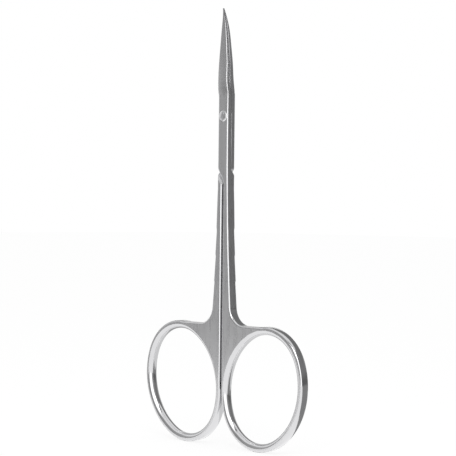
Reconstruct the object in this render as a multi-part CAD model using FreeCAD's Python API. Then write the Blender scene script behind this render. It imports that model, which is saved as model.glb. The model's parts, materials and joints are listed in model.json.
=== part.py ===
import FreeCAD, Part
import os
from math import atan2, cos, degrees, hypot, pi, radians, sin, sqrt

# Curved cuticle scissors, closed, tips up, in millimetres.
# X runs across the tool, the front with the screw head faces -Y, Z runs up to the tips.
# The origin is midway between the finger rings, on the plane where the two halves meet.

os.makedirs("parts", exist_ok=True)
V = FreeCAD.Vector

# Whole tool
thickness = 2.7
pivot_height = 66.43
overrun = 4.0
# A point this near an outline counts as on it
match_distance = 0.03

# Clearances between the halves when closed
lap_gap = 0.06
ring_gap = 0.2
shank_gap = 0.6
shoulder_gap = 0.15

# Finger rings: half axes of the outer oval, which leans outwards, and section of the bar
ring_short = 13.32
ring_long = 15.44
ring_lean = radians(21.5)
# From the hole outwards the bar has a rounded inside, a flat band and a chamfered outside
ring_inside = 1.2
ring_band = 0.3
ring_chamfer = 0.45

# Web between shank and ring, which runs into the ring a little below its top
web_radius = 4.5
web_sink = 0.2

# Joint, neck and shank outline of the half whose ring is on the +X side, heights from the pivot
joint_half_width = 1.7
joint_top = 5.6
joint_bottom = -6.0
edge_round = 0.45
shank_radius = 590.0
neck_bottom = -16.9
neck_slope = radians(32.0)
neck_radius = 2.5
neck_corner_radius = 1.2
shoulder_run = 0.9

# Blades: tip height from the pivot, greatest thickness, and how far the mating surface bends to the front
tip_height = 26.5
blade_thickness = 1.18
mating_bend = 2.25
flat_radius = 2.05
# Mating surface: distance from the pivot as shares of the tip height, depth as shares of the bend
mating_shares = [
    (0.1887, 0.12), (0.3019, 0.191), (0.566, 0.244), (0.7547, 0.302), (0.9057, 0.444), (1.0755, 1.0),
]
# Blade sections: height as shares from the joint's top to the tip, spine and edge as shares of the
# joint's half width, wall under the edge bevel as shares of the blade's thickness
plan_shares = [
    (-0.067, 0.894, 0.894, 0.678),
    (0.0, 1.012, 1.012, 0.636),
    (0.0861, 0.994, 0.93, 0.525),
    (0.2584, 0.965, 0.765, 0.305),
    (0.4498, 0.871, 0.576, 0.136),
    (0.6411, 0.7, 0.4, 0.068),
    (0.7847, 0.506, 0.265, 0.051),
    (0.9043, 0.247, 0.141, 0.042),
    (1.0, 0.053, 0.053, 0.034),
]
# Thickness of spine and edge at the same heights as shares of the blade's thickness
front_shares = [
    (0.814, 0.78), (0.89, 0.856), (1.0, 0.873), (0.898, 0.669), (0.695, 0.424),
    (0.517, 0.322), (0.373, 0.271), (0.254, 0.22), (0.161, 0.144),
]
rear_shares = [
    (1.102, 0.975), (1.229, 1.059), (1.169, 0.949), (0.915, 0.661), (0.712, 0.424),
    (0.517, 0.322), (0.373, 0.271), (0.254, 0.22), (0.161, 0.144),
]
bevel_share = 0.65
spine_round_share = 0.22
crown_share = 0.035
hollow_depth_share = 0.12
# The back of the rear half falls from the joint to the blade
fall_start = 2.6
fall = 0.22

# Pivot screw
head_diameter = 2.8
head_seat_depth = 0.55
head_proud = 0.32
head_crown = 0.25
head_chamfer = 0.08
slot_width = 0.46
slot_depth = 0.42
slot_turn = 24.0
journal_diameter = 1.6
tail_diameter = 1.4
tail_chamfer = 0.12
running_clearance = 0.03
thread_clearance = 0.02
head_clearance = 0.02

half = thickness / 2
AXIS = V(0, 1, 0)
UP = V(0, 0, 1)
RIGHT = V(1, 0, 0)
PIVOT = V(0, 0, pivot_height)


def at(x, z, y=0):
    """Point given by its height above the pivot."""
    return V(x, y, pivot_height + z)


def line(a, b):
    return Part.LineSegment(a, b).toShape()


def arc(centre, a, b):
    """Arc from a to b, the short way round its centre."""
    middle = a - centre + b - centre
    middle.normalize()
    return Part.Arc(a, centre + middle * a.distanceToPoint(centre), b).toShape()


def half_ellipse(middle, side, tip):
    """Half of an ellipse about its middle, from the one side over the tip to the other side."""
    if side.Length > tip.Length:
        return Part.ArcOfEllipse(Part.Ellipse(middle + side, middle + tip, middle), 0, pi).toShape()
    return Part.ArcOfEllipse(Part.Ellipse(middle + tip, middle - side, middle), -pi / 2, pi / 2).toShape()


def turn_half(shape):
    """Turn a shape half a turn about the upright axis, from the one half to the other."""
    return shape.rotated(V(0, 0, 0), UP, 180)


class Oval:
    """Oval of four arcs whose long axis leans outwards at the top."""

    def __init__(self, short, long, lean, centre_x):
        diagonal = hypot(short, long)
        along = V(sin(lean), 0, cos(lean))
        across = V(cos(lean), 0, -sin(lean))
        self.end_radius = (diagonal - long + short) / 2 * diagonal / long
        end_run = long - self.end_radius
        self.side_radius = end_run * diagonal / short + self.end_radius
        side_run = self.side_radius - short
        self.rise = end_run * along.z + self.end_radius
        self.reach = self.side_radius - side_run * across.x
        self.centre = V(self.reach + centre_x, 0, 0)
        self.top_centre = self.centre + along * end_run
        self.low_centre = self.centre - along * end_run
        self.inner_centre = self.centre + across * side_run
        self.outer_centre = self.centre - across * side_run
        self.end_half_sweep = atan2(long, short)
        self.side_half_sweep = atan2(short, long)
        self.along = along
        self.across = across

    def arcs(self):
        """Centre, middle direction, radius and half sweep of each arc, clockwise from the top."""
        return [
            (self.top_centre, self.along, self.end_radius, self.end_half_sweep),
            (self.outer_centre, self.across, self.side_radius, self.side_half_sweep),
            (self.low_centre, -self.along, self.end_radius, self.end_half_sweep),
            (self.inner_centre, -self.across, self.side_radius, self.side_half_sweep),
        ]


RING = Oval(ring_short, ring_long, ring_lean, ring_gap / 2)


def clockwise(direction, angle):
    """Direction turned clockwise as seen from the front."""
    return V(
        direction.x * cos(angle) + direction.z * sin(angle),
        0,
        direction.z * cos(angle) - direction.x * sin(angle),
    )


def finger_ring():
    """Ring on the +X side: one bar section swept about the four centres of its oval."""
    bars = []
    for centre, direction, radius, half_sweep in RING.arcs():
        out = clockwise(direction, -half_sweep)

        def p(inwards, y):
            return centre + out * (radius - inwards) + AXIS * y

        shoulder = ring_chamfer + ring_band
        inside = half_ellipse(p(shoulder, 0), AXIS * half, -out * ring_inside)
        outside = Part.makePolygon([
            p(shoulder, -half),
            p(ring_chamfer, -half),
            p(0, ring_chamfer - half),
            p(0, half - ring_chamfer),
            p(ring_chamfer, half),
            p(shoulder, half),
        ])
        face = Part.Face(Part.Wire([inside] + outside.Edges))
        bars.append(face.revolve(centre, AXIS, degrees(half_sweep + half_sweep)))
    return bars[0].fuse(bars[1:])


def neck_edge():
    """Slanted neck edge: centre of its lower bend, its ends, and centre of its upper corner."""
    slope = V(cos(neck_slope), 0, sin(neck_slope))
    bend = at(shank_gap / 2 - neck_radius, neck_bottom)
    low = bend + slope * neck_radius
    corner_x = neck_corner_radius - joint_half_width
    run = (low.x - corner_x + slope.x * neck_corner_radius) / slope.z
    high = low + V(-slope.z, 0, slope.x) * run
    return bend, low, high, high + slope * neck_corner_radius


def right_edges():
    """Free edges from the joint's top down the shank and along the web into the ring."""
    upper = at(joint_half_width, joint_top)
    lower = at(joint_half_width, joint_bottom)
    shank_centre = lower + RIGHT * shank_radius
    web_z = RING.rise - web_sink + web_radius
    web_x = shank_centre.x - sqrt((shank_radius - web_radius) ** 2 - (shank_centre.z - web_z) ** 2)
    web_centre = V(web_x, 0, web_z)
    outwards = web_centre - shank_centre
    outwards.normalize()
    foot = shank_centre + outwards * shank_radius
    web_low = web_centre - UP * web_radius
    web_end = V(RING.top_centre.x, 0, web_low.z)
    return [
        line(upper, lower),
        arc(shank_centre, lower, foot),
        arc(web_centre, foot, web_low),
        line(web_low, web_end),
    ]


def left_edges():
    """Free edges from inside the ring up the shank and the neck to the joint's top."""
    bend, low, high, corner = neck_edge()
    start = at(shank_gap / 2, neck_bottom)
    corner_end = corner - RIGHT * neck_corner_radius
    return [
        line(V(shank_gap / 2, 0, RING.inner_centre.z), start),
        arc(bend, start, low),
        line(low, high),
        arc(corner, high, corner_end),
        line(corner_end, at(-joint_half_width, joint_top)),
    ]


def hidden_edges(web_end, shank_end):
    """Edges under the ring's flat band, from the web round to the inner side of the shank."""
    inwards = ring_chamfer + ring_band / 2
    top = RING.top_centre + UP * (RING.end_radius - inwards)
    turn_to = clockwise(RING.along, -RING.end_half_sweep)
    turn = RING.top_centre + turn_to * (RING.end_radius - inwards)
    side = RING.inner_centre - RIGHT * (RING.side_radius - inwards)
    return [
        line(web_end, top),
        arc(RING.top_centre, top, turn),
        arc(RING.inner_centre, turn, side),
        line(side, shank_end),
    ]


def handle():
    """Ring, web, shank and joint of the half whose ring is on the +X side, at full thickness."""
    right = right_edges()
    left = left_edges()
    ring_side = hidden_edges(right[-1].Vertexes[-1].Point, left[0].Vertexes[0].Point)
    top = line(left[-1].Vertexes[-1].Point, right[0].Vertexes[0].Point)
    plate = Part.Face(Part.Wire(right + ring_side + left + [top])).extrude(AXIS * thickness)
    plate.translate(AXIS * -half)
    outline = Part.Compound(right + left)
    soft = []
    for edge in plate.Edges:
        middle = edge.valueAt(sum(edge.ParameterRange) / 2)
        on_face = abs(abs(middle.y) - half) < match_distance
        if on_face and outline.distToShape(Part.Vertex(V(middle.x, 0, middle.z)))[0] < match_distance:
            soft.append(edge)
    plate = plate.makeFillet(edge_round, soft)
    return plate.fuse(finger_ring()).removeSplitter()


def mating_spline(offset):
    """Curve of the mating surface beyond the flat round the pivot, moved along the pivot axis."""
    points = [V(flat_radius, offset, pivot_height)]
    for radius, depth in mating_shares:
        points.append(V(radius * tip_height, offset - depth * mating_bend, pivot_height))
    spline = Part.BSplineCurve()
    spline.interpolate(points)
    return spline


def mating_depth(radius):
    """Depth of the mating surface at a distance from the pivot."""
    probe = Part.LineSegment(V(radius, -overrun, pivot_height), V(radius, overrun, pivot_height))
    return mating_spline(0).intersect(probe)[0].Y


def mating_cutter(side):
    """Space beyond the mating surface of the blades, for the front half (-1) or the rear half (1)."""
    offset = side * lap_gap / 2
    spline = mating_spline(offset)
    far = -side * (half + overrun)
    axis_near = V(0, offset, pivot_height)
    axis_far = V(0, far, pivot_height)
    rim_near = spline.value(spline.LastParameter)
    rim_far = V(rim_near.x, far, pivot_height)
    wire = Part.Wire([
        line(axis_near, spline.value(spline.FirstParameter)),
        spline.toShape(),
        line(rim_near, rim_far),
        line(rim_far, axis_far),
        line(axis_far, axis_near),
    ])
    return Part.Face(wire).revolve(PIVOT, -AXIS, 180)


def lap_cutter():
    """Space for the other half below the pivot, ended by the sloping shoulder, for the front half."""
    bend, low, high, corner = neck_edge()
    along = V(sin(neck_slope), 0, cos(neck_slope))
    out = V(cos(neck_slope), 0, -sin(neck_slope))
    foot = V(-low.x, 0, low.z) + out * shoulder_gap - along * pivot_height
    slope = shoulder_run / half
    deep = half + overrun
    near = foot - AXIS * (lap_gap / 2)
    section = Part.makePolygon([
        near - out * pivot_height,
        near,
        near + out * (slope * deep) + AXIS * deep,
        near - out * pivot_height + AXIS * deep,
        near - out * pivot_height,
    ])
    cutter = Part.Face(section).extrude(along * (pivot_height + pivot_height))
    corner = V(-pivot_height / 2, -pivot_height / 2, 0)
    return cutter.common(Part.makeBox(pivot_height, pivot_height, pivot_height, corner))


def blade_section(plan, thick, side):
    """Closed section of a blade: spine, crowned outside, edge bevel, wall and hollow inside."""
    z = joint_top + plan[0] * (tip_height - joint_top)
    spine = plan[1] * joint_half_width
    edge = plan[2] * joint_half_width
    wall = plan[3] * blade_thickness
    spine_thick = thick[0] * blade_thickness
    edge_thick = thick[1] * blade_thickness
    depth = mating_depth(z)
    bevel = (edge_thick - wall) * bevel_share
    soft = spine_round_share * spine_thick
    hollow = hollow_depth_share * spine_thick
    width = spine + edge
    crown = crown_share * width * spine_thick
    top_middle = (soft + width - bevel) / 2 - spine
    top_out = (spine_thick + edge_thick) / 2 + crown

    def p(across, out):
        return at(-side * across, z, depth + side * out)

    a = p(-spine, -lap_gap)
    b = p(-spine, spine_thick - soft)
    c = p(-spine + soft, spine_thick - soft)
    d = p(-spine + soft, spine_thick)
    e = p(top_middle, top_out)
    f = p(edge - bevel, edge_thick)
    g = p(edge, wall)
    h = p(edge, -lap_gap)
    i = p((edge - spine) / 2, hollow)
    outside = Part.Arc(d, e, f).toShape()
    inside = Part.Arc(h, i, a).toShape()
    return Part.Wire([line(a, b), arc(c, b, d), outside, line(f, g), line(g, h), inside])


def blade(side, shares):
    """Blade of the front half (-1) or the rear half (1), reaching past the mating surface."""
    sections = [blade_section(plan, thick, side) for plan, thick in zip(plan_shares, shares)]
    return Part.makeLoft(sections, True, False)


def bore(diameter, y_from, y_to):
    """Round space about the pivot between two depths."""
    return Part.makeCylinder(diameter / 2, y_to - y_from, PIVOT + AXIS * y_from, AXIS)


def front_half():
    """Half with its ring on the +X side; it carries the seat of the screw head."""
    body = handle().cut(mating_cutter(-1)).cut(lap_cutter())
    body = body.fuse(blade(-1, front_shares).cut(mating_cutter(-1)))
    body = body.cut(bore(head_diameter + 2 * running_clearance, -half - overrun, head_seat_depth - half))
    return body.cut(bore(journal_diameter + 2 * running_clearance, -half - overrun, half + overrun))


def fall_cutter():
    """Space behind the sloping back of the rear half's joint."""
    slope = fall / (joint_top - fall_start)
    reach = overrun + overrun
    wire = Part.makePolygon([
        at(-overrun, fall_start, half),
        at(-overrun, fall_start + reach, half - slope * reach),
        at(-overrun, fall_start + reach, half + overrun),
        at(-overrun, fall_start, half + overrun),
        at(-overrun, fall_start, half),
    ])
    return Part.Face(wire).extrude(RIGHT * reach)


def rear_half():
    """Half with its ring on the -X side; the screw's tail is held in it."""
    body = turn_half(handle().cut(lap_cutter())).cut(fall_cutter()).cut(mating_cutter(1))
    body = body.fuse(blade(1, rear_shares).cut(mating_cutter(1)))
    return body.cut(bore(tail_diameter + 2 * thread_clearance, -half - overrun, half + overrun))


def pivot_screw():
    """Slotted screw with a low crowned head, a plain journal and a tail flush with the back."""
    head = head_diameter / 2
    journal = journal_diameter / 2
    tail = tail_diameter / 2
    seat = head_seat_depth - half - head_clearance
    crown = -half - head_proud
    rim = crown + head_crown
    face = head - head_chamfer
    crown_radius = (face ** 2 + head_crown ** 2) / (2 * head_crown)

    def p(radius, y):
        return V(radius, y, pivot_height)

    outline = [
        arc(p(0, crown + crown_radius), p(0, crown), p(face, rim)),
        line(p(face, rim), p(head, rim + head_chamfer)),
        line(p(head, rim + head_chamfer), p(head, seat)),
        line(p(head, seat), p(journal, seat)),
        line(p(journal, seat), p(journal, -lap_gap / 2)),
        line(p(journal, -lap_gap / 2), p(tail, -lap_gap / 2)),
        line(p(tail, -lap_gap / 2), p(tail, half - tail_chamfer)),
        line(p(tail, half - tail_chamfer), p(tail - tail_chamfer, half)),
        line(p(tail - tail_chamfer, half), p(0, half)),
        line(p(0, half), p(0, crown)),
    ]
    body = Part.Face(Part.Wire(outline)).revolve(PIVOT, AXIS, 360)
    slot_corner = V(-slot_width / 2, crown + slot_depth - overrun, -head_diameter)
    slot = Part.makeBox(slot_width, overrun, head_diameter * 2, slot_corner)
    slot.rotate(V(0, 0, 0), AXIS, slot_turn)
    slot.translate(PIVOT)
    return body.cut(slot)


def save(shape, name):
    """Write one solid as one file."""
    solid = shape.Solids[0]
    if len(shape.Solids) != 1 or not solid.isValid():
        raise ValueError(name + " is not one sound solid")
    solid.exportStep("parts/" + name + ".step")


save(front_half(), "front_half")
save(rear_half(), "rear_half")
save(pivot_screw(), "pivot_screw")
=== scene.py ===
"""Curved cuticle scissors: steel finishes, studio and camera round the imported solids."""

import json
from math import atan2, cos, pi, radians, sin

import bmesh
import bpy
from mathutils import Matrix, Vector


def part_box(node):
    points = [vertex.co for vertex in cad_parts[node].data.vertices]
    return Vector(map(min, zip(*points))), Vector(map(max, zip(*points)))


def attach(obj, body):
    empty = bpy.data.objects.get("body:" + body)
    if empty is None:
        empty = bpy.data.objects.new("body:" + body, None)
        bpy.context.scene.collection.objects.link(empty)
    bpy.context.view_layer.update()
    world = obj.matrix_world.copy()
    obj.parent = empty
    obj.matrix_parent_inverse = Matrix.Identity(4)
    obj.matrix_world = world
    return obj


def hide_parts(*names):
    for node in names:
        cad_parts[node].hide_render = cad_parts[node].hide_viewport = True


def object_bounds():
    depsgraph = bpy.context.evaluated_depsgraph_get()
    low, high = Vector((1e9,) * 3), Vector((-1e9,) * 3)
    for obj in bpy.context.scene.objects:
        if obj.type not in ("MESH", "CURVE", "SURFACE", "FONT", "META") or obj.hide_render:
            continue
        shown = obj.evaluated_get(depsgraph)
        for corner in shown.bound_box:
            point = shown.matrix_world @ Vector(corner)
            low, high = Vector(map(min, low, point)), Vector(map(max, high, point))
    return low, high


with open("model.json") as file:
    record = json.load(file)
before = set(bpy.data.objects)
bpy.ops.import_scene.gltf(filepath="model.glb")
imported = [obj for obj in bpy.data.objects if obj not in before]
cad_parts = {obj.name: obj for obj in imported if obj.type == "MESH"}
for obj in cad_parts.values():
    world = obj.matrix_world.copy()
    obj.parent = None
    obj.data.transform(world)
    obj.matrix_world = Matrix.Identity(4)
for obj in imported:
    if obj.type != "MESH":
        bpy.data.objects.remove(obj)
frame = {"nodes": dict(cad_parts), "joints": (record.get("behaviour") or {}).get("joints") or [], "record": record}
CAD_BOX = [list(corner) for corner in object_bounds()]
MM = 0.001

bl_info = {
    "name": "Cuticle Scissors",
    "version": (1, 0, 0),
    "blender": (4, 5, 0),
    "location": "View3D > Sidebar > Scissors",
    "description": "Finishes the two halves and the pivot screw in steel and sets them in a light tent",
    "category": "Object",
}

# Places taken from the frame, in metres
PIVOT = Vector(frame["joints"][0]["pos_m"])
FLOOR_HEIGHT = CAD_BOX[0][2]
FLAT_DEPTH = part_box("pivot_screw")[1].y
RING_TOP = -FLOOR_HEIGHT

# How far the joint reaches above the pivot, which is where the blades begin
JOINT_REACH = 5.6 * MM
BLADE_FOOT = PIVOT.z + JOINT_REACH

# Colours of the steel, taken from the record, and of the studio's lights
STEEL = frame["record"]["materials"][0]["base_color"]
SCREW_STEEL = frame["record"]["materials"][1]["base_color"]
WHITE = (1.0, 1.0, 1.0, 1.0)

# Finishes of a half, as places in its list of materials
SATIN, POLISHED, GROUND = range(3)

# Marks of each finish: how close they lie along X, Y and Z, and how strongly they show
SATIN_MARKS = (1900, 1900, 150), 0.012
POLISH_MARKS = (700, 700, 700), 0.004
BLADE_MARKS = (200, 200, 1600), 0.006
SCREW_MARKS = (2500, 2500, 2500), 0.02
MARK_DEPTH = 0.02 * MM
MARK_SHEEN_SHARES = 0.85, 1.15

# Faint clouding of all steel, and the range that holds most values of a noise texture
CLOUD_SCALE = 160.0
CLOUD_TINT_SHARE = 0.95
NOISE_LOW, NOISE_HIGH = 0.3, 0.7

# Limits for joining the facets of the solids
MERGE_DISTANCE = 0.001 * MM
COPLANAR_ANGLE = radians(0.4)

# Limits that tell the lap's edges, the edge bevel, the wall under it and the flats from other forms
LAP_SLACK = 0.1 * MM
LAP_EDGE_LENGTH = 1 * MM
FLAT_MOST_X, SIDE_LEAST_X = 0.1, 0.9
BEVEL_LEANS = radians(38), radians(76)
WALL_LEAN = radians(80)
FLAT_TILT = radians(4)
FLAT_SLACK = 0.02 * MM
POLISH_REACH = 4 * MM

# Share of the floor's look that glows, and heights over the floor that keep flat pieces apart
FLOOR_GLOW_SHARE = 0.8
TENT_GAP, CARD_GAP, PALE_CARD_GAP = 0.05 * MM, 0.1 * MM, 0.15 * MM

# Azimuth round the tent in degrees, from the front towards the screw's right, and brightness there
TENT_LEVELS = [
    (-180, 0.4), (-165, 0.75), (-140, 0.75), (-115, 0.3), (-95, 0.85), (-72, 1.0),
    (-58, 0.46), (-45, 0.36), (-30, 0.31), (-15, 0.25), (0, 0.4), (12, 1.8),
    (58, 1.8), (76, 0.2), (100, 0.15), (150, 0.15), (180, 0.4),
]

# Sides of the round wall, and how far up a face has to point to be its roof
TENT_SEGMENTS = 96
ROOF_LEAST_Z = 0.9

# Brightness that the tent gains between two heights
TENT_LIFT = 0.1
TENT_LIFT_HEIGHTS = 50 * MM, 200 * MM

# Cards lying on the floor: the white one in shares of its size, the others from one left side
WHITE_CARD_LEVEL, GREY_CARD_LEVEL, PALE_CARD_LEVEL = 1.15, 0.3, 0.88
WHITE_CARD_LEFT_SHARE, WHITE_CARD_RIGHT_SHARE = 0.5, 1.5
CARDS_LEFT = -30 * MM
GREY_CARD_RIGHT, GREY_CARD_BACK = 330 * MM, 330 * MM
PALE_CARD_FRONT_RIGHT, PALE_CARD_BACK_RIGHT, PALE_CARD_BACK = 18 * MM, 68 * MM, 100 * MM

# Standing cards: brightness, distance from the rings' middle, two azimuths in degrees and two heights
STANDING_CARDS = {
    "dark_card": (0.14, 60 * MM, (36, 92), (79 * MM, 130 * MM)),
    "high_card": (0.22, 600 * MM, (140, 222), (200 * MM, 620 * MM)),
}

# Camera's range of sight and the lamp over it
CLIP_START, CLIP_END = 10 * MM, 20.0
LAMP_WIDTH, LAMP_DEPTH = 250 * MM, 180 * MM
LAMP_RISE = 300 * MM
LAMP_AIM_HEIGHT = 30 * MM

# Space between shader nodes in the editor
NODE_SPACING = 200


class SteelSettings(bpy.types.PropertyGroup):
    """Finish of the steel."""

    steel_colour: bpy.props.FloatVectorProperty(
        name="Steel colour", description="Colour of the ground and polished steel",
        subtype="COLOR", size=3, min=0, max=1, default=STEEL)
    screw_colour: bpy.props.FloatVectorProperty(
        name="Screw colour", description="Colour of the pivot screw",
        subtype="COLOR", size=3, min=0, max=1, default=SCREW_STEEL)
    satin_roughness: bpy.props.FloatProperty(
        name="Satin roughness", description="Roughness of the shanks and of the flat faces",
        subtype="FACTOR", min=0, max=1, default=0.3)
    blade_roughness: bpy.props.FloatProperty(
        name="Blade roughness", description="Roughness of the ground blades",
        subtype="FACTOR", min=0, max=1, default=0.26)
    polish_roughness: bpy.props.FloatProperty(
        name="Polish roughness", description="Roughness of the polished rings",
        subtype="FACTOR", min=0, max=1, default=0.12)
    screw_roughness: bpy.props.FloatProperty(
        name="Screw roughness", description="Roughness of the pivot screw",
        subtype="FACTOR", min=0, max=1, default=0.3)
    smooth_angle: bpy.props.FloatProperty(
        name="Smooth angle", description="Edges of the handles that turn by more than this stay crisp",
        subtype="ANGLE", min=0, max=pi, default=radians(50))
    blade_angle: bpy.props.FloatProperty(
        name="Blade angle", description="Edges of the blades that turn by more than this stay crisp",
        subtype="ANGLE", min=0, max=pi, default=radians(14))
    lap_bevel: bpy.props.FloatProperty(
        name="Lap bevel", description="Width of the broken edges along the joint's lap",
        unit="LENGTH", min=0, default=0.09 * MM)
    line_share: bpy.props.FloatProperty(
        name="Line share",
        description="Where the line along an edge bevel lies, as a share of the bevel's width",
        subtype="FACTOR", min=0, max=1, default=0.35)
    line_height: bpy.props.FloatProperty(
        name="Line height", description="How far the line along an edge bevel is lifted",
        unit="LENGTH", min=0, default=0.06 * MM)


class StudioSettings(bpy.types.PropertyGroup):
    """Floor, light tent, white card, lamp and camera."""

    floor_colour: bpy.props.FloatVectorProperty(
        name="Floor colour", description="Colour of the floor",
        subtype="COLOR", size=3, min=0, max=1, default=(0.94, 0.94, 0.94))
    floor_size: bpy.props.FloatProperty(
        name="Floor size", description="Width of the floor",
        unit="LENGTH", min=0.1, default=6.0)
    tent_radius: bpy.props.FloatProperty(
        name="Tent radius", description="Distance of the tent's wall from the scissors",
        unit="LENGTH", min=0.1, default=0.9)
    tent_height: bpy.props.FloatProperty(
        name="Tent height", description="Height of the tent's wall",
        unit="LENGTH", min=0.1, default=1.0)
    card_size: bpy.props.FloatProperty(
        name="Card size", description="Size of the white card from front to back, half its width",
        unit="LENGTH", min=0.01, default=0.2)
    card_back: bpy.props.FloatProperty(
        name="Card back", description="How far the white card reaches behind the rings' middle",
        unit="LENGTH", default=8 * MM)
    lamp_power: bpy.props.FloatProperty(
        name="Lamp power", description="Power of the lamp over the camera",
        unit="POWER", min=0, default=0.5)
    lens: bpy.props.FloatProperty(
        name="Lens", description="Focal length of the camera in millimetres",
        unit="CAMERA", min=1, default=126.16)
    camera_azimuth: bpy.props.FloatProperty(
        name="Camera azimuth", description="Turn of the camera from the front to the right",
        subtype="ANGLE", default=radians(45))
    camera_elevation: bpy.props.FloatProperty(
        name="Camera elevation", description="Tilt of the camera's line of sight",
        subtype="ANGLE", default=radians(0.57))
    camera_roll: bpy.props.FloatProperty(
        name="Camera roll", description="Turn of the picture about the line of sight",
        subtype="ANGLE", default=radians(0.66))
    camera_distance: bpy.props.FloatProperty(
        name="Camera distance", description="Distance of the camera from the pivot along its line of sight",
        unit="LENGTH", min=0.01, default=394.8 * MM)
    camera_across: bpy.props.FloatProperty(
        name="Camera across", description="Shift of the camera to the right of the pivot",
        unit="LENGTH", default=0.3 * MM)
    camera_up: bpy.props.FloatProperty(
        name="Camera up", description="Shift of the camera above the pivot",
        unit="LENGTH", default=-27.6 * MM)


class Nodes:
    """Shader nodes of one tree, set in a row as they are added."""

    def __init__(self, tree):
        self.tree = tree
        tree.nodes.clear()

    def add(self, kind, inputs=None, **settings):
        node = self.tree.nodes.new("ShaderNode" + kind)
        node.location.x = NODE_SPACING * len(self.tree.nodes)
        for name, value in settings.items():
            setattr(node, name, value)
        for key, value in (inputs or {}).items():
            if isinstance(value, bpy.types.NodeSocket):
                self.tree.links.new(value, node.inputs[key])
            else:
                node.inputs[key].default_value = value
        return node


def new_material(name):
    """Material with an empty node tree."""
    material = bpy.data.materials.new(name)
    material.use_nodes = True
    return material, Nodes(material.node_tree)


def steel_material(name, colour, roughness, mark_scale, mark_strength):
    """Steel with fine marks, stretched by the scale along each axis, and faint clouding."""
    material, nodes = new_material(name)
    place = nodes.add("TexCoord").outputs["Object"]
    stretched = nodes.add("Mapping", {"Vector": place, "Scale": mark_scale})
    marks = nodes.add("TexNoise", {
        "Vector": stretched.outputs["Vector"], "Scale": 1.0, "Detail": 3.0, "Roughness": 0.6})
    clouds = nodes.add("TexNoise", {"Vector": place, "Scale": CLOUD_SCALE, "Detail": 3.0, "Roughness": 0.55})
    tint = nodes.add("ValToRGB", {"Fac": clouds.outputs["Fac"]})
    dark, light = tint.color_ramp.elements
    dark.position, light.position = NOISE_LOW, NOISE_HIGH
    dark.color = [*(CLOUD_TINT_SHARE * part for part in colour), 1.0]
    light.color = [*colour, 1.0]
    least, most = (share * roughness for share in MARK_SHEEN_SHARES)
    sheen = nodes.add("MapRange", {
        "Value": marks.outputs["Fac"], "From Min": NOISE_LOW, "From Max": NOISE_HIGH,
        "To Min": least, "To Max": most})
    bump = nodes.add("Bump", {
        "Height": marks.outputs["Fac"], "Strength": mark_strength, "Distance": MARK_DEPTH})
    shader = nodes.add("BsdfPrincipled", {
        "Base Color": tint.outputs["Color"], "Metallic": 1.0,
        "Roughness": sheen.outputs["Result"], "Normal": bump.outputs["Normal"]})
    nodes.add("OutputMaterial", {"Surface": shader.outputs["BSDF"]})
    return material


def put_in_scene(name, bm, materials):
    """Object at the origin from a mesh in the making, which is freed."""
    mesh = bpy.data.meshes.new(name)
    bm.to_mesh(mesh)
    bm.free()
    for material in materials:
        mesh.materials.append(material)
    piece = bpy.data.objects.new(name, mesh)
    bpy.context.scene.collection.objects.link(piece)
    return piece


def lap_edges(bm):
    """Long edges where the side of a half meets the flat that laps the other half."""
    found = []
    for edge in bm.edges:
        inner = all(abs(vert.co.y) < LAP_SLACK for vert in edge.verts)
        if not (inner and edge.is_manifold and edge.calc_length() > LAP_EDGE_LENGTH):
            continue
        flat, side = sorted(abs(face.normal.x) for face in edge.link_faces)
        if flat < FLAT_MOST_X and side > SIDE_LEAST_X:
            found.append(edge)
    return found


def lean(face):
    """Angle of a face from the flat of the scissors towards their side."""
    return atan2(abs(face.normal.x), abs(face.normal.y))


def edge_bevel(bm):
    """Faces of the bevel along a blade's cutting edge, on the outside of the blade."""
    least, most = BEVEL_LEANS
    bm.normal_update()
    return {face for face in bm.faces if face.calc_center_median().z > BLADE_FOOT
            and least < lean(face) < most and face.normal.x * face.normal.y < 0}


def break_edge_bevel(bm, share, height):
    """Make two facets of the edge bevel by lifting a line at a share of its width from the blade's face."""
    bevel = edge_bevel(bm)
    inner = [vert for vert in bm.verts if vert.link_faces and bevel.issuperset(vert.link_faces)]
    bmesh.ops.dissolve_verts(bm, verts=inner)
    bevel = edge_bevel(bm)
    side = sum(face.normal.x * face.calc_area() for face in bevel)
    wall = {vert for face in bm.faces for vert in face.verts
            if lean(face) > WALL_LEAN and face.normal.x * side > 0}
    rungs = [edge for edge in bm.edges
             if len(edge.link_faces) == 2 and bevel.issuperset(edge.link_faces)]
    lifted = []
    for edge in rungs:
        top = [vert for vert in edge.verts if vert not in wall]
        if len(top) == 1:
            normal = sum((face.normal for face in edge.link_faces), Vector()).normalized()
            lifted.append((bmesh.utils.edge_split(edge, top[0], share)[1], normal))
    bmesh.ops.connect_verts(bm, verts=[vert for vert, normal in lifted])
    for vert, normal in lifted:
        vert.co += normal * height
    bm.normal_update()


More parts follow.
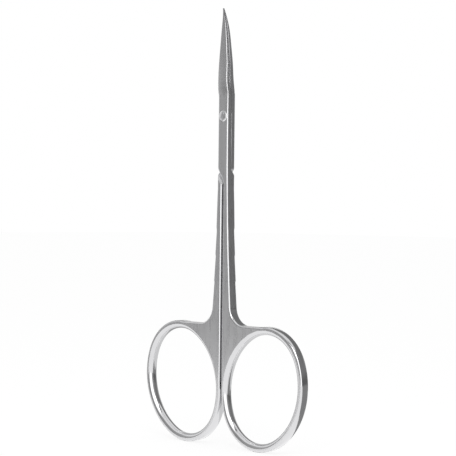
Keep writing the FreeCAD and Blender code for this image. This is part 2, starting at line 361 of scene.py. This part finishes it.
def finished_copy(node, materials, zone):
    """Merged copy of a CAD node with smooth curves, crisp edges and a material for each face's zone."""
    settings = bpy.context.scene.scissors_steel
    bm = bmesh.new()
    bm.from_mesh(frame["nodes"][node].data)
    bmesh.ops.remove_doubles(bm, verts=bm.verts, dist=MERGE_DISTANCE)
    bmesh.ops.dissolve_limit(
        bm, angle_limit=COPLANAR_ANGLE, verts=bm.verts, edges=bm.edges, use_dissolve_boundaries=False)
    for face in bm.faces:
        face.smooth = True
        face.material_index = zone(face)
    bmesh.ops.bevel(
        bm, geom=lap_edges(bm), offset=settings.lap_bevel, offset_type="OFFSET", segments=2, profile=0.5,
        affect="EDGES", clamp_overlap=False, material=-1)
    break_edge_bevel(bm, settings.line_share, settings.line_height)
    for edge in bm.edges:
        middle = (edge.verts[0].co + edge.verts[1].co) / 2
        limit = settings.blade_angle if middle.z > BLADE_FOOT else settings.smooth_angle
        edge.smooth = edge.is_manifold and edge.calc_face_angle() < limit
    piece = put_in_scene(node + "_finished", bm, materials)
    weighted = piece.modifiers.new("Flat faces stay flat", "WEIGHTED_NORMAL")
    weighted.mode = "FACE_AREA"
    weighted.keep_sharp = True
    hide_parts(node)
    return piece


def half_zone(face):
    """Satin for shanks and flats, polished for the rest of the rings and ground for the blade."""
    middle = face.calc_center_median()
    if middle.z > BLADE_FOOT:
        return GROUND
    flat = abs(face.normal.y) > cos(FLAT_TILT) and abs(middle.y) > FLAT_DEPTH - FLAT_SLACK
    if middle.z < RING_TOP + POLISH_REACH and not flat:
        return POLISHED
    return SATIN


class SCISSORS_OT_halves(bpy.types.Operator):
    """Finish the front and the rear half, each from ring to blade tip"""

    bl_idname = "scissors.halves"
    bl_label = "Finish halves"

    def execute(self, context):
        steel = context.scene.scissors_steel
        colour = list(steel.steel_colour)
        materials = [
            steel_material("Satin steel", colour, steel.satin_roughness, *SATIN_MARKS),
            steel_material("Polished steel", colour, steel.polish_roughness, *POLISH_MARKS),
            steel_material("Ground blade steel", colour, steel.blade_roughness, *BLADE_MARKS),
        ]
        for side in ("front", "rear"):
            piece = finished_copy(side + "_half", materials, half_zone)
            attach(piece, side)
        return {"FINISHED"}


class SCISSORS_OT_screw(bpy.types.Operator):
    """Finish the slotted pivot screw"""

    bl_idname = "scissors.screw"
    bl_label = "Finish pivot screw"

    def execute(self, context):
        steel = context.scene.scissors_steel
        colour = list(steel.screw_colour)
        material = steel_material("Screw steel", colour, steel.screw_roughness, *SCREW_MARKS)
        piece = finished_copy("pivot_screw", [material], lambda face: 0)
        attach(piece, "rear")
        return {"FINISHED"}


def make_floor(studio):
    """Pale floor under the rings, white to the camera apart from the scissors' soft shadow."""
    material, nodes = new_material("Pale floor")
    matt = nodes.add("BsdfDiffuse", {"Color": [*studio.floor_colour, 1.0]})
    white = nodes.add("Emission", {"Color": WHITE, "Strength": 1.0})
    path = nodes.add("LightPath").outputs
    seen = nodes.add("Math", {0: path["Is Camera Ray"], 1: path["Is Glossy Ray"]}, operation="MAXIMUM")
    share = nodes.add("Math", {0: seen.outputs[0], 1: FLOOR_GLOW_SHARE}, operation="MULTIPLY")
    mixed = nodes.add("MixShader", {0: share.outputs[0], 1: matt.outputs[0], 2: white.outputs[0]})
    nodes.add("OutputMaterial", {"Surface": mixed.outputs[0]})
    bm = bmesh.new()
    bmesh.ops.create_grid(bm, x_segments=1, y_segments=1, size=studio.floor_size / 2)
    bmesh.ops.translate(bm, vec=(0, 0, FLOOR_HEIGHT), verts=bm.verts)
    put_in_scene("floor", bm, [material])


def add_glow(material, nodes, level):
    """White glow of a fixed level, or of a socket's, that is not sampled as a lamp."""
    material.cycles.emission_sampling = "NONE"
    glow = nodes.add("Emission", {"Color": WHITE, "Strength": level})
    nodes.add("OutputMaterial", {"Surface": glow.outputs[0]})


def put_in_mirror(name, bm, material):
    """Stage piece that only the steel's mirror images show."""
    piece = put_in_scene(name, bm, [material])
    piece.visible_camera = False
    piece.visible_diffuse = False
    piece.visible_shadow = False


def make_tent(studio):
    """Round wall, unseen by the camera, whose brightness changes round the scissors."""
    material, nodes = new_material("Tent wall")
    place = nodes.add("SeparateXYZ", {"Vector": nodes.add("TexCoord").outputs["Object"]})
    front = nodes.add("Math", {0: place.outputs["Y"], 1: -1.0}, operation="MULTIPLY")
    azimuth = nodes.add("Math", {0: place.outputs["X"], 1: front.outputs[0]}, operation="ARCTAN2")
    turn = nodes.add("MapRange", {"Value": azimuth.outputs[0], "From Min": -pi, "From Max": pi})
    ramp = nodes.add("ValToRGB", {"Fac": turn.outputs[0]})
    # A new ramp has its first and last stop, and keeps all stops in order
    stops = ramp.color_ramp.elements
    for degrees_round, _ in TENT_LEVELS[1:-1]:
        stops.new((degrees_round + 180) / 360)
    for stop, (_, level) in zip(stops, TENT_LEVELS):
        stop.color = (level, level, level, 1.0)
    low, high = TENT_LIFT_HEIGHTS
    lift = nodes.add("MapRange", {
        "Value": place.outputs["Z"], "From Min": low, "From Max": high, "To Min": 0.0, "To Max": TENT_LIFT})
    lifted = nodes.add("Math", {0: ramp.outputs["Color"], 1: lift.outputs[0]}, operation="ADD")
    add_glow(material, nodes, lifted.outputs[0])
    bm = bmesh.new()
    bmesh.ops.create_cone(
        bm, cap_ends=True, segments=TENT_SEGMENTS, radius1=studio.tent_radius, radius2=studio.tent_radius,
        depth=studio.tent_height)
    bmesh.ops.translate(bm, vec=(0, 0, FLOOR_HEIGHT + studio.tent_height / 2 + TENT_GAP), verts=bm.verts)
    roof = [face for face in bm.faces if face.normal.z > ROOF_LEAST_Z]
    bmesh.ops.delete(bm, geom=roof, context="FACES_ONLY")
    put_in_mirror("tent_wall", bm, material)


def make_card(name, level, corners):
    """Plain card, unseen by the camera, that the steel mirrors."""
    material, nodes = new_material(name.replace("_", " ").capitalize())
    add_glow(material, nodes, level)
    bm = bmesh.new()
    bm.faces.new([bm.verts.new(corner) for corner in corners])
    put_in_mirror(name, bm, material)


def lying(gap, left, front, front_right, back_right, back):
    """Corners of a card that lies a gap above the floor, with a right side that may slant."""
    outline = (left, front), (front_right, front), (back_right, back), (left, back)
    return [(*corner, FLOOR_HEIGHT + gap) for corner in outline]


def standing(radius, turns, heights):
    """Corners of an upright card between two azimuths and two heights."""
    feet = [Vector((sin(radians(turn)), -cos(radians(turn)), 0)) * radius for turn in turns]
    low, high = (Vector((0, 0, height)) for height in heights)
    return [feet[0] + low, feet[1] + low, feet[1] + high, feet[0] + high]


def make_cards(studio):
    """White card under the rings, grey and pale ones behind, dark ones by the blades and high behind."""
    size, back = studio.card_size, studio.card_back
    right = size * WHITE_CARD_RIGHT_SHARE
    make_card("white_card", WHITE_CARD_LEVEL, lying(
        CARD_GAP, -size * WHITE_CARD_LEFT_SHARE, back - size, right, right, back))
    make_card("grey_card", GREY_CARD_LEVEL, lying(
        CARD_GAP, CARDS_LEFT, back, GREY_CARD_RIGHT, GREY_CARD_RIGHT, GREY_CARD_BACK))
    make_card("pale_card", PALE_CARD_LEVEL, lying(
        PALE_CARD_GAP, CARDS_LEFT, back, PALE_CARD_FRONT_RIGHT, PALE_CARD_BACK_RIGHT, PALE_CARD_BACK))
    for name, (level, radius, turns, heights) in STANDING_CARDS.items():
        make_card(name, level, standing(radius, turns, heights))


def make_world():
    """White surroundings."""
    world = bpy.data.worlds.new("White surroundings")
    world.use_nodes = True
    nodes = Nodes(world.node_tree)
    white = nodes.add("Background", {"Color": WHITE, "Strength": 1.0})
    nodes.add("OutputWorld", {"Surface": white.outputs[0]})
    bpy.context.scene.world = world


def camera_axes(studio):
    """The camera's right, up and back directions."""
    turn, tilt, roll = studio.camera_azimuth, studio.camera_elevation, studio.camera_roll
    back = Vector((sin(turn) * cos(tilt), -cos(turn) * cos(tilt), sin(tilt)))
    level = Vector((cos(turn), sin(turn), 0))
    raised = back.cross(level)
    return level * cos(roll) + raised * sin(roll), raised * cos(roll) - level * sin(roll), back


def make_camera(studio):
    """Camera at the right of the front, nearly level; returns its place."""
    right, up, back = camera_axes(studio)
    data = bpy.data.cameras.new("camera")
    data.lens = studio.lens
    data.clip_start = CLIP_START
    data.clip_end = CLIP_END
    camera = bpy.data.objects.new("camera", data)
    place = PIVOT + back * studio.camera_distance + right * studio.camera_across + up * studio.camera_up
    camera.matrix_world = Matrix.Translation(place) @ Matrix((right, up, back)).transposed().to_4x4()
    bpy.context.scene.collection.objects.link(camera)
    bpy.context.scene.camera = camera
    return place


def make_lamp(studio, place):
    """Soft lamp over the camera's place."""
    data = bpy.data.lights.new("lamp_over_camera", "AREA")
    data.shape = "RECTANGLE"
    data.size = LAMP_WIDTH
    data.size_y = LAMP_DEPTH
    data.energy = studio.lamp_power
    lamp = bpy.data.objects.new("lamp_over_camera", data)
    lamp.location = place + Vector((0, 0, LAMP_RISE))
    back = lamp.location - Vector((0, 0, LAMP_AIM_HEIGHT))
    lamp.rotation_euler = back.to_track_quat("Z", "Y").to_euler()
    bpy.context.scene.collection.objects.link(lamp)


class SCISSORS_OT_studio(bpy.types.Operator):
    """Set up floor, light tent, cards, surroundings, camera and lamp"""

    bl_idname = "scissors.studio"
    bl_label = "Set up studio"

    def execute(self, context):
        studio = context.scene.scissors_studio
        make_floor(studio)
        make_tent(studio)
        make_cards(studio)
        make_world()
        make_lamp(studio, make_camera(studio))
        context.scene.view_settings.view_transform = "Standard"
        return {"FINISHED"}


class SCISSORS_PT_sidebar(bpy.types.Panel):
    """Settings and steps of the scissors"""

    bl_idname = "SCISSORS_PT_sidebar"
    bl_label = "Cuticle scissors"
    bl_space_type = "VIEW_3D"
    bl_region_type = "UI"
    bl_category = "Scissors"

    def draw(self, context):
        column = self.layout.column()
        for group, steps in (
            (context.scene.scissors_steel, (SCISSORS_OT_halves, SCISSORS_OT_screw)),
            (context.scene.scissors_studio, (SCISSORS_OT_studio,)),
        ):
            for name in group.__annotations__:
                column.prop(group, name)
            for step in steps:
                column.operator(step.bl_idname)


CLASSES = (
    SteelSettings,
    StudioSettings,
    SCISSORS_OT_halves,
    SCISSORS_OT_screw,
    SCISSORS_OT_studio,
    SCISSORS_PT_sidebar,
)


def register():
    for cls in CLASSES:
        bpy.utils.register_class(cls)
    bpy.types.Scene.scissors_steel = bpy.props.PointerProperty(type=SteelSettings)
    bpy.types.Scene.scissors_studio = bpy.props.PointerProperty(type=StudioSettings)


def unregister():
    del bpy.types.Scene.scissors_studio
    del bpy.types.Scene.scissors_steel
    for cls in reversed(CLASSES):
        bpy.utils.unregister_class(cls)


def main():
    register()
    bpy.ops.scissors.halves()
    bpy.ops.scissors.screw()
    bpy.ops.scissors.studio()


if __name__ == "__main__":
    main()
